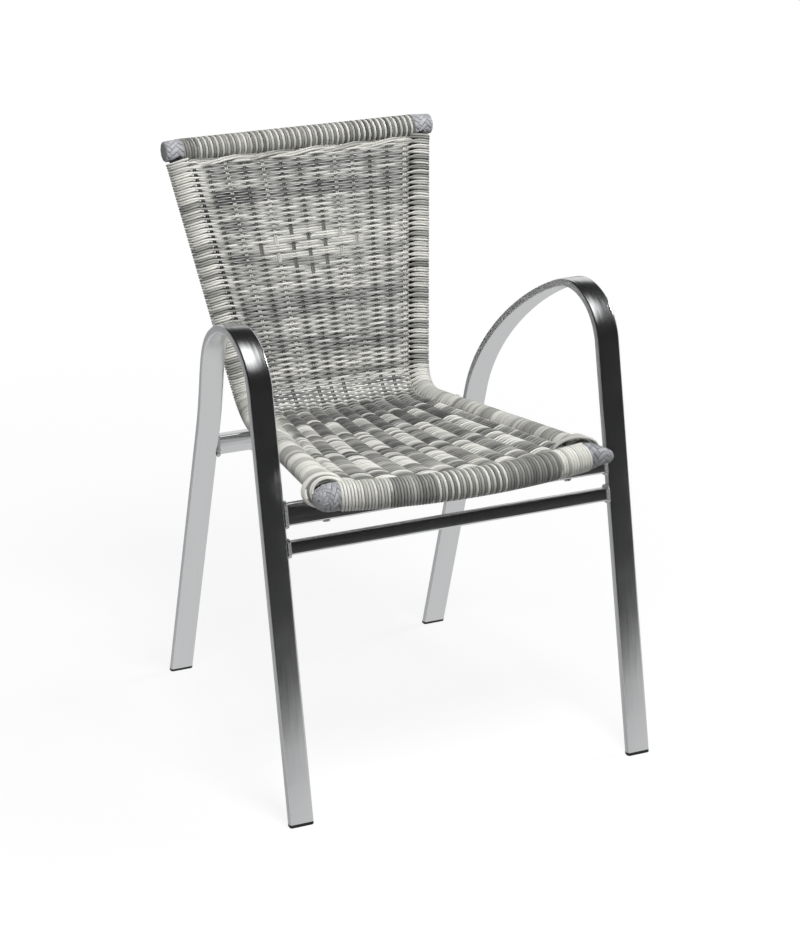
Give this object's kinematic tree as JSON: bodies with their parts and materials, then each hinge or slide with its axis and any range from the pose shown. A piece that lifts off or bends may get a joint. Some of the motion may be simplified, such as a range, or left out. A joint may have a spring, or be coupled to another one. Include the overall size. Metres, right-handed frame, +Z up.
{
  "type": "bistro armchair",
  "caption": "Bistro armchair with bent flat aluminium side arches, welded crossbars and a woven synthetic rattan seat and back shell.",
  "frame": {"origin": "on the floor under the middle of the chair's overall length and width", "axes": "+X to the right seen from the front, +Y towards the back, +Z up"},
  "size_m": [0.539, 0.6188, 0.8129],
  "materials": {
    "polished_aluminium": "polished and anodised, slightly brushed along the tube",
    "weld_metal": "rippled bright weld",
    "glide_plastic": "matt black moulded plastic",
    "shell_tube": "plain mill finish, hidden under the weave",
    "screw_steel": "plain stainless steel",
    "weft_strand": "satin round strand in mixed cream and greys",
    "winding_strand": "satin round strand wound in light and dark bands",
    "cap_strand": "satin flat braided strip, blue grey"
  },
  "bodies": {
    "root": {"back_weave": "weft_strand", "front_border_cord": "winding_strand", "front_corner_cap_left": "cap_strand", "front_corner_cap_right": "cap_strand", "front_foot_glide_left": "glide_plastic", "front_foot_glide_right": "glide_plastic", "front_lower_crossbar": "polished_aluminium", "front_lower_crossbar_weld_left": "weld_metal", "front_lower_crossbar_weld_right": "weld_metal", "front_rail_winding": "winding_strand", "front_seat_crossbar": "polished_aluminium", "front_seat_crossbar_screw_left": "screw_steel", "front_seat_crossbar_screw_right": "screw_steel", "front_seat_crossbar_weld_left": "weld_metal", "front_seat_crossbar_weld_right": "weld_metal", "rear_crossbar": "polished_aluminium", "rear_crossbar_screw_left": "screw_steel", "rear_crossbar_screw_right": "screw_steel", "rear_crossbar_weld_left": "weld_metal", "rear_crossbar_weld_right": "weld_metal", "rear_foot_glide_left": "glide_plastic", "rear_foot_glide_right": "glide_plastic", "seat_weave": "weft_strand", "shell_front_tube": "shell_tube", "shell_side_tube_left": "shell_tube", "shell_side_tube_right": "shell_tube", "shell_top_tube": "shell_tube", "side_arch_left": "polished_aluminium", "side_arch_right": "polished_aluminium", "side_weft_sleeve_left": "weft_strand", "side_weft_sleeve_right": "weft_strand", "top_border_cord": "winding_strand", "top_corner_cap_left": "cap_strand", "top_corner_cap_right": "cap_strand", "top_rail_winding": "winding_strand"}
  },
  "joints": []
}
